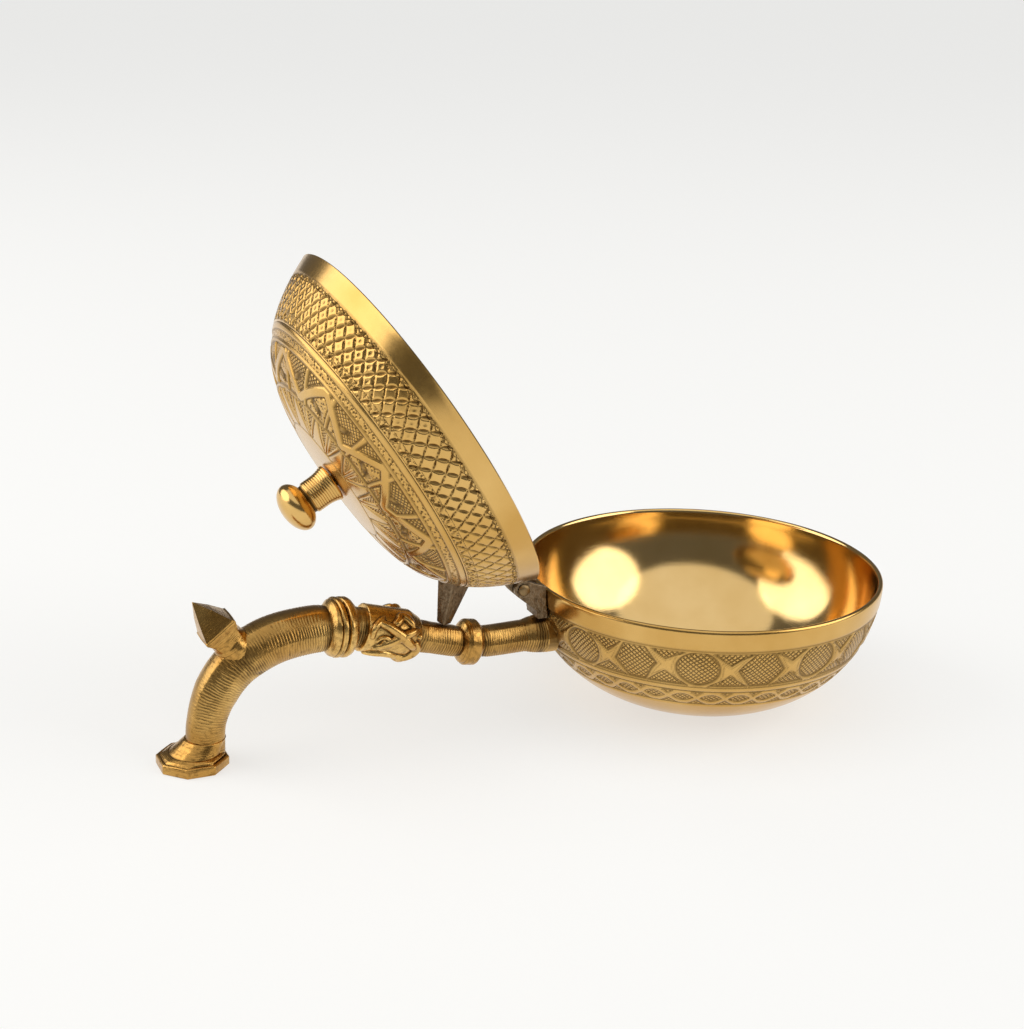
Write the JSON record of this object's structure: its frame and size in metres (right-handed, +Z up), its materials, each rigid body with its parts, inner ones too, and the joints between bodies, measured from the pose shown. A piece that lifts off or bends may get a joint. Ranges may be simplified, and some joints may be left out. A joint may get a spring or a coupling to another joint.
{
  "type": "handled prayer oil lamp with hinged lid",
  "caption": "Round brass prayer lamp: an open bowl, a domed hinged lid with a turned knob and thumb stop, and a cast handle that bends down into a foot.",
  "frame": {"origin": "middle of the bowl's flat base, on the surface it stands on", "axes": "+Z up, the handle runs along -X, the hinge pin lies along Y"},
  "size_m": [0.2057, 0.1, 0.1285],
  "materials": {
    "polished_brass": "mirror polished inside and at the rim, engraved round the outside",
    "engraved_brass": "polished, engraved and punched all over the outside",
    "cast_brass": "file-marked casting with brown patina in its recesses",
    "turned_brass": "turned, with fine lathe rings",
    "rough_casting": "rough sand-cast skin, dark and dull",
    "pin_brass": "drawn wire, peened ends"
  },
  "bodies": {
    "lamp": {"bowl": "polished_brass", "handle": "cast_brass", "hinge_bracket": "rough_casting", "hinge_pin": "pin_brass"},
    "lid": {"lid": "engraved_brass", "lid_lug": "rough_casting", "lid_stop": "rough_casting", "knob": "turned_brass", "knob_screw": "pin_brass"}
  },
  "joints": [
    {"name": "lid_hinge", "type": "hinge", "parent": "lamp", "child": "lid", "pos_m": [-0.0568, 0, 0.0373], "axis": [0, 1, 0], "range_deg": [0, 121.6]}
  ]
}
